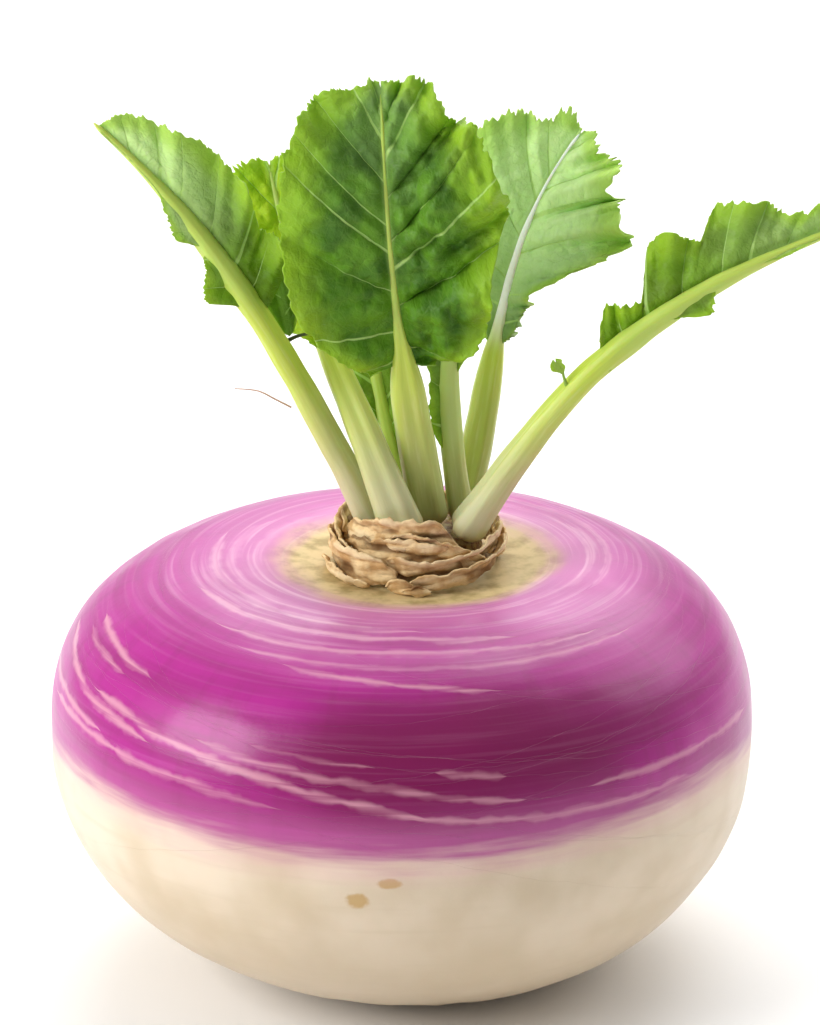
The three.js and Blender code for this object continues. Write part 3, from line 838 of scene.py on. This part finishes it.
# The blade: rows are side veins, columns run from one margin over the rib to the other. A point
# lies some way out along its vein; that flat leaf is folded and rolled up each side of the rib
# and then moved along its own normal by the bulges between veins, the puckers between small
# veins, the waves of the margin and a groove at each side vein.
def bladeSurface(leaf):
    s = leafShape
    rows, half = s["rows"], s["halfColumns"]
    length = ribLine(leaf)[1][-1]
    begin, end = np.array(leaf["span"]) * length
    share = np.linspace(0, 1, rows)
    start = share**1.1 * (end - begin)
    total = (end - begin) + 0.8
    angle = np.radians(smoothList(leaf["veins"], share))
    sign = np.concatenate([-np.ones(half), [0], np.ones(half)])
    v = np.concatenate([np.linspace(1, 1 / half, half), [0], np.linspace(1 / half, 1, half)])[None, :]
    left = sign[None, :] < 0
    pick = lambda pair: np.where(left, pair[0], pair[1])
    reaches = []
    for outline in (leaf["left"], leaf["right"]):
        reach = veinReach(start, angle, outline, total)
        smooth = np.convolve(np.pad(reach, 2, mode="edge"), np.ones(5) / 5, mode="valid")
        reaches.append(smooth[:, None])
    reach = np.where(left, reaches[0], reaches[1])

    # teeth, only at the margin: uneven points, small ones over large ones, on shallow lobes
    edges = [np.cumsum(np.hypot(np.gradient(r[:, 0]), np.gradient(start)))[:, None] for r in reaches]
    marginRun = np.where(left, edges[0], edges[1])
    toothSeed = leaf["seed"] * 31 + np.where(left, 5.0, 9.0)
    uneven = 0.9 * softNoise(spots(marginRun / 3.1, toothSeed), 3)
    large = np.abs(((marginRun / 2.5 + uneven) % 1) * 2 - 1) ** 0.8
    small = np.abs(((marginRun / 0.95 + 2 * uneven) % 1) * 2 - 1)
    lobe = softNoise(spots(marginRun / 6, toothSeed), 4)
    size = 0.7 + 0.5 * softNoise(spots(marginRun / 4, toothSeed), 5)
    tooth = leaf["teeth"] * (size * (large - 0.6) + 0.4 * (small - 0.5) + 1.1 * lobe)
    calm = 1 - 0.65 * eased(share, 0.86, 0.98)[:, None]
    run = np.maximum(v * reach + calm * tooth * v**4 * eased(reach, 0.5, 4), 0)
    flatAlong = start[:, None] + run * np.sin(angle)[:, None] + s["veinBend"] * run**2
    flatAcross = run * np.cos(angle)[:, None]

    point, along, side, out = ribFrames(leaf, begin + flatAlong)
    cup = np.radians(pick(leaf["cup"])) * eased(flatAcross, 0, 2)
    roll = np.radians(pick(leaf["roll"])) + 1e-6
    bent = cup + roll * flatAcross
    wide = (np.sin(bent) - np.sin(cup)) / roll
    lift = (np.cos(cup) - np.cos(bent)) / roll
    breadth = smoothList(leaf["thick"], (begin + start) / length)
    lift = lift + 0.1 * breadth[:, None] - 0.1
    grid = point + side * (wide * sign[None, :])[..., None] + out * lift[..., None]

    # side veins leave the two sides of the rib at different places
    spacing = s["veinSpacing"]
    rowPlace = start[:, None] / spacing + pick((0.0, 0.45))
    rowPlace = rowPlace + 0.14 * np.sin(start[:, None] * 0.8 + leaf["seed"] + pick((0.0, 1.6)))
    offVein = np.abs(rowPlace - np.round(rowPlace)) * spacing * np.cos(angle)[:, None]
    fan = np.clip(run / np.maximum(reach, 0.5), 0, 1)
    offVein = offVein * (1 + 0.5 * fan)
    hump = np.sin(math.pi / 2 * np.clip(offVein / 2.4, 0, 1))
    bulge = pick(leaf["quilt"]) * hump ** (2.1 - 0.5 * pick(leaf["quilt"]))
    bulge = bulge * eased(run, 0.3, 3) * (1 - 0.3 * fan)
    puckerPlace = spots(flatAlong / 2.1, flatAcross * sign[None, :] / 2.1)
    pucker = roughNoise(puckerPlace, leaf["seed"] * 13, 2) * eased(run, 0.4, 3)
    pucker = pucker * s["pucker"] * pick(leaf["quilt"])
    wavePlace = share[:, None] * pick(leaf["waves"])
    wavePlace = wavePlace + 0.25 * softNoise(spots(share[:, None] * 3, toothSeed), 8)
    calmer = 1 - 0.8 * eased(share, 0.6, 0.88)[:, None]
    swell = calmer * pick(leaf["ruffle"]) * fan**1.35 * eased(reach, 1, 6)
    wave = swell * np.sin(2 * math.pi * wavePlace + leaf["seed"] + 0.7 * np.sin(2 * math.pi * wavePlace))
    flutter = 0.3 * swell * np.sin(2 * math.pi * (wavePlace * 2.7 + leaf["seed"] * 0.37))
    groove = -0.06 * np.exp(-((offVein / 0.4) ** 2)) * eased(run, 0.3, 1.5)
    normal = unit(np.cross(np.gradient(grid, axis=1), np.gradient(grid, axis=0)))
    grid = grid + normal * (bulge + pucker + wave + flutter + groove)[..., None]
    lean = -0.4 * swell * np.cos(2 * math.pi * wavePlace + leaf["seed"])
    grid = grid + along * lean[..., None]

    thick = s["thickness"] * (1 - 0.45 * fan) + 0 * grid[..., 0]
    values = {
        "fan": fan,
        "offVein": offVein + 0 * fan,
        "offRib": flatAcross,
        # how pale it is: partly a waxy bloom, partly a painted sheen
        "light": smoothList(leaf["light"], share)[:, None] + 0 * fan,
        # how yellow it is: partly young leaf, partly painted light shining through
        "yellow": leaf["yellow"] + 0 * fan,
        "flatX": flatAlong,
        "flatY": flatAcross * sign[None, :],
    }
    return sheetShell(grid, thick, values)


leafColours = {
    "greenFoot": tint(166, 180, 84),
    "whiteFoot": tint(216, 210, 176),
    "brownFoot": tint(176, 146, 92),
    "stalk": tint(194, 214, 76),
    "paleFibre": tint(232, 238, 180),
    "darkFibre": tint(146, 178, 56),
    "rib": tint(182, 208, 96),
    "whiteRib": tint(252, 255, 246),
    "darkGreen": tint(55, 100, 8),
    "green": tint(88, 138, 18),
    # pale tone: partly a waxy bloom, partly a painted sheen
    "waxyAndSheen": tint(208, 236, 166),
    # yellow-green: partly young leaf, partly painted light shining through
    "yellowAndBacklit": tint(184, 208, 30),
    # yellow-green margin: partly the leaf's own colour, partly painted light shining through
    "margin": tint(156, 192, 44),
    "tinyVein": tint(140, 180, 80),
    "smallVein": tint(140, 178, 74),
    "sideVein": tint(178, 208, 120),
    "ribEdge": tint(150, 186, 90),
    "underside": tint(150, 182, 104),
}


def stalkFinish():
    c = leafColours
    f = Finish("leafStalk", Roughness=0.38, IOR=1.42)
    fromFoot, rib = f.attribute("fromFoot"), f.attribute("rib")
    fibres = f.noise(f.attribute("grain", "Vector"), 3.5, 3.0, 0.6)
    mottle = f.noise(f.place(), 0.12, 2.0)
    up = f.band(f.scaled(mottle, 8.0, fromFoot), 4, 34)
    foot = f.mix(f.attribute("white"), c["greenFoot"], c["whiteFoot"])
    flesh = f.painted(
        f.mix(up, foot, c["stalk"]),
        (f.band(fibres, 0.5, 0.72), 0.22, c["paleFibre"]),
        (f.band(fibres, 0.5, 0.28), 0.2, c["darkFibre"]),
        (f.rest(f.band(f.scaled(mottle, 1.5, fromFoot), 1.0, 4.0)), 0.5, c["brownFoot"]),
        (rib, 0.75, c["rib"]),
        (rib, f.attribute("pale"), c["whiteRib"]))
    ridges = f.bump(fibres, 0.12, 0.4)
    return f.finish(Base_Color=flesh, Normal=ridges, Subsurface_Weight=0.25, Subsurface_Scale=0.002)


def bladeFinish():
    c = leafColours
    f = Finish("leafBlade", IOR=1.42)
    flat = f.vector(f.attribute("flatX"), f.attribute("flatY"))
    fan, upper = f.attribute("fan"), f.attribute("upper")
    patches = f.noise(flat, 0.16, 3.0)
    shift = f.node("ShaderNodeTexNoise", {"Vector": flat, "Scale": 0.5}).outputs[1]
    warped = f.node("ShaderNodeVectorMath", {0: flat, 1: shift}, operation="ADD").outputs[0]

    def veinNet(scale, width):  # 1 on the lines of a net of small veins
        inputs = {"Vector": warped, "Scale": scale}
        net = f.node("ShaderNodeTexVoronoi", inputs, feature="DISTANCE_TO_EDGE")
        return f.rest(f.band(net.outputs[0], 0.0, width))

    small = veinNet(0.55, 0.09)
    tiny = veinNet(1.5, 0.12)
    veinWidth = f.scaled(fan, -0.15, 0.24)
    vein = f.rest(f.band(f.math("DIVIDE", f.attribute("offVein"), veinWidth), 0.45, 1.1))
    green = f.painted(
        f.mix(f.band(patches, 0.35, 0.65), c["darkGreen"], c["green"]),
        # pale tone by the leaf's light value: partly a waxy bloom, partly a painted sheen
        (f.attribute("light"), 0.95, c["waxyAndSheen"]),
        # yellow-green: partly young leaf, partly painted light shining through
        (f.attribute("yellow"), 0.85, c["yellowAndBacklit"]),
        # yellow-green towards the margin: partly the leaf's own colour, partly painted light shining
        # through
        (f.band(f.scaled(patches, 0.35, fan), 0.72, 1.14), 0.7, c["margin"]),
        (tiny, 0.06, c["tinyVein"]),
        (small, 0.08, c["smallVein"]),
        (vein, 0.8, c["sideVein"]),
        (f.rest(f.band(f.attribute("offRib"), 0.3, 0.9)), 0.5, c["ribEdge"]))
    colour = f.mix(upper, f.mix(0.55, green, c["underside"]), green)
    netRise = f.math("ADD", f.times(small, 0.3), f.times(tiny, 0.12))
    netRise = f.math("ADD", netRise, vein)
    flip = f.scaled(upper, -2.0, 1.0)
    relief = f.bump(f.times(netRise, flip), 0.12, 0.7)
    relief = f.bump(f.noise(flat, 1.5, 3.0), 0.25, 0.5, relief)
    relief = f.bump(f.noise(flat, 0.5, 3.0, 0.5), 0.9, 0.6, relief)
    roughness = f.scaled(upper, -0.12, 0.55)
    return f.finish(Base_Color=colour, Roughness=roughness, Normal=relief, Specular_IOR_Level=0.22,
                    Subsurface_Weight=0.3, Subsurface_Radius=(0.7, 1.0, 0.2), Subsurface_Scale=0.0008)


print("leaves")
stalkMaterial = stalkFinish()
bladeMaterial = bladeFinish()
for leafName, leaf in leaves.items():
    makePiece(leafName + "Stalk", stalkSurface(leaf), stalkMaterial, "leaf_stalk", leafName + "_stalk")
    makePiece(leafName + "Blade", bladeSurface(leaf), bladeMaterial, "leaf_blade", leafName + "_blade")


# A leaflet is a small leaf without a stalk of its own: its numbers mean the same.
leaflets = {
    "left_leaflet": {
        "route": [(-17.5, -1.5, 92), (-18, -0.5, 94.5), (-19, 1, 98), (-20, 2, 102.5)],
        "thick": (0.5, 0.42, 0.3, 0.2),
        "face": (0.2, -1, 0.2), "span": (0.02, 0.96),
        "left": (0.5, 1.4, 2.2, 2.9, 3.2, 3.0, 2.0, 0),
        "right": (0.5, 1.2, 2.2, 2.8, 3.0, 2.6, 1.6, 0),
        "veins": (35, 40, 50, 75), "teeth": 0.5,
        "cup": (14, 14), "roll": (1, 1),
        "quilt": (0.3, 0.3), "ruffle": (0.5, 0.5), "waves": (1.5, 2),
        "light": (0, 0), "yellow": 0.1,
        "seed": 8,
    },
    "right_leaflet": {
        "route": [(20, -7.5, 88.5), (19.6, -7.5, 89.3), (19.2, -8, 89.8), (18.9, -8, 90.5)],
        "thick": (0.3, 0.25, 0.2, 0.12),
        "face": (0.2, -1, 0.2), "span": (0.1, 0.96),
        "left": (0.15, 0.5, 1.0, 0.8, 0),
        "right": (0.15, 0.8, 0.7, 0.8, 0),
        "veins": (20, 45, 75), "teeth": 0.35,
        "cup": (20, 20), "roll": (2, 2),
        "quilt": (0.1, 0.1), "ruffle": (0.2, 0.2), "waves": (2, 2),
        "light": (0.5, 0.5), "yellow": 0.8,
        "seed": 9,
    },
}

print("leaflets")
for leafletName, leaflet in leaflets.items():
    makePiece(leafletName, bladeSurface(leaflet), bladeMaterial, "leaf_blade", leafletName)


# A thin dry twig, the stem of the right leaflet and a hair-thin thread: a line through a few places,
# with a round section whose half thickness follows its own list, all in mm.
strands = {
    "dryTwig": {
        "line": [(-17.9, -1.6, 91.6), (-16.6, -2.2, 92.4), (-15.2, -2.6, 92.9), (-13.8, -2.8, 93.3)],
        "thick": (0.32, 0.24, 0.22, 0.3),
        "colour": tint(70, 80, 40),
    },
    "leafletStem": {
        "line": [(20.4, -7.6, 87.1), (20.2, -7.6, 87.7), (20.0, -7.5, 88.3), (19.9, -7.5, 88.9)],
        "thick": (0.3, 0.24, 0.2, 0.16),
        "colour": tint(140, 172, 70),
    },
    "dryThread": {
        "line": [(-17.4, -2.4, 82.2), (-19.5, -2.6, 83.4), (-22.0, -2.4, 84.6), (-25.2, -2.0, 84.8)],
        "thick": (0.14, 0.13, 0.11, 0.08),
        "colour": tint(196, 160, 140),
    },
}


# A ring round every place on the line, with two directions square to the line.
def strandSurface(strand):
    rings, columns = 40, 10
    share = np.linspace(0, 1, rings)
    line = smoothList(strand["line"], share)
    along = unit(np.gradient(line, axis=0))
    side = unit(np.cross(along, [0, -1, 0.2]))
    out = np.cross(side, along)
    turn = np.linspace(0, 2 * math.pi, columns, endpoint=False)
    breadth = smoothList(strand["thick"], share)[:, None, None]
    ring = side[:, None] * np.cos(turn)[None, :, None] - out[:, None] * np.sin(turn)[None, :, None]
    grid = line[:, None] + breadth * ring
    points = np.concatenate([grid.reshape(-1, 3), line[[0, -1]]])
    return points, tubeFaces(rings, columns), {}


print("strands")
for strandName, strand in strands.items():
    dry = Finish(strandName, Base_Color=strand["colour"], Roughness=0.8).material
    makePiece(strandName, strandSurface(strand), dry, "dry_husk")


studio = {
    "floorSize": 30.0,  # places and sizes here are in metres
    "floorColour": tint(250, 250, 250),
    "skyInFront": 0.16,
    "skyBehind": 0.75,
    "backdrop": 1.0,
    "target": (-0.001, 0, 0.0659),
    "distance": 0.6,
    "pitch": math.radians(19.8),
    "lens": 150.5,
}

# the place, the size and the watts of each soft light
studioLights = {
    "overheadSoftbox": ((0.12, 0.55, 0.85), 0.9, 8),
    "leftSoftbox": ((-0.75, -0.3, 0.5), 0.55, 7),
    "rightFill": ((0.7, 0.35, 0.6), 0.5, 1.8),
}


def makeFloor():
    half = studio["floorSize"] / 2
    below = -0.05 * mm  # just under the root, so that the two flat faces never lie in one plane
    corners = [(-half, -half, below), (half, -half, below), (half, half, below), (-half, half, below)]
    mesh = bpy.data.meshes.new("floor")
    mesh.from_pydata(corners, [], [(0, 1, 2, 3)])
    floor = bpy.data.objects.new("floor", mesh)
    bpy.context.scene.collection.objects.link(floor)
    mesh.materials.append(Finish("floorPaint", Base_Color=studio["floorColour"], Roughness=0.9).material)


def makeLight(name, place, size, watts, target=(0, 0, 0.05)):
    lamp = bpy.data.lights.new(name, "AREA")
    lamp.size = size
    lamp.energy = watts
    light = bpy.data.objects.new(name, lamp)
    light.location = place
    away = np.array(place) - np.array(target)
    flat = math.hypot(away[0], away[1])
    light.rotation_euler = (math.atan2(flat, away[2]), 0, math.atan2(away[0], -away[1]))
    bpy.context.scene.collection.objects.link(light)


# The sky is darker in front than behind, and the camera sees it as an even white.
def makeWorld():
    world = bpy.data.worlds.new("studio")
    w = Nodes(world)
    way = w.node("ShaderNodeTexCoord").outputs["Generated"]
    towardsBack = w.node("ShaderNodeSeparateXYZ", {0: way}).outputs[1]
    sky = w.band(towardsBack, -0.9, 0.6, studio["skyInFront"], studio["skyBehind"], "LINEAR")
    seen = w.node("ShaderNodeLightPath").outputs["Is Camera Ray"]
    background = w.tree.nodes["Background"]
    w.put((1, 1, 1, 1), background.inputs["Color"])
    w.put(w.band(seen, 0.0, 1.0, sky, studio["backdrop"], "LINEAR"), background.inputs["Strength"])
    bpy.context.scene.world = world


def makeCamera():
    view = studio
    camera = bpy.data.objects.new("camera", bpy.data.cameras.new("camera"))
    camera.data.lens = view["lens"]
    camera.data.sensor_width = 36
    camera.data.clip_start = 0.01
    x, y, z = view["target"]
    back = view["distance"] * math.cos(view["pitch"])
    rise = view["distance"] * math.sin(view["pitch"])
    camera.location = (x, y - back, z + rise)
    camera.rotation_euler = (math.pi / 2 - view["pitch"], 0, 0)
    bpy.context.scene.collection.objects.link(camera)
    bpy.context.scene.camera = camera


print("studio")
makeFloor()
makeWorld()
for lightName, (place, size, watts) in studioLights.items():
    makeLight(lightName, place, size, watts)
makeCamera()
bpy.context.scene.view_settings.view_transform = "Standard"
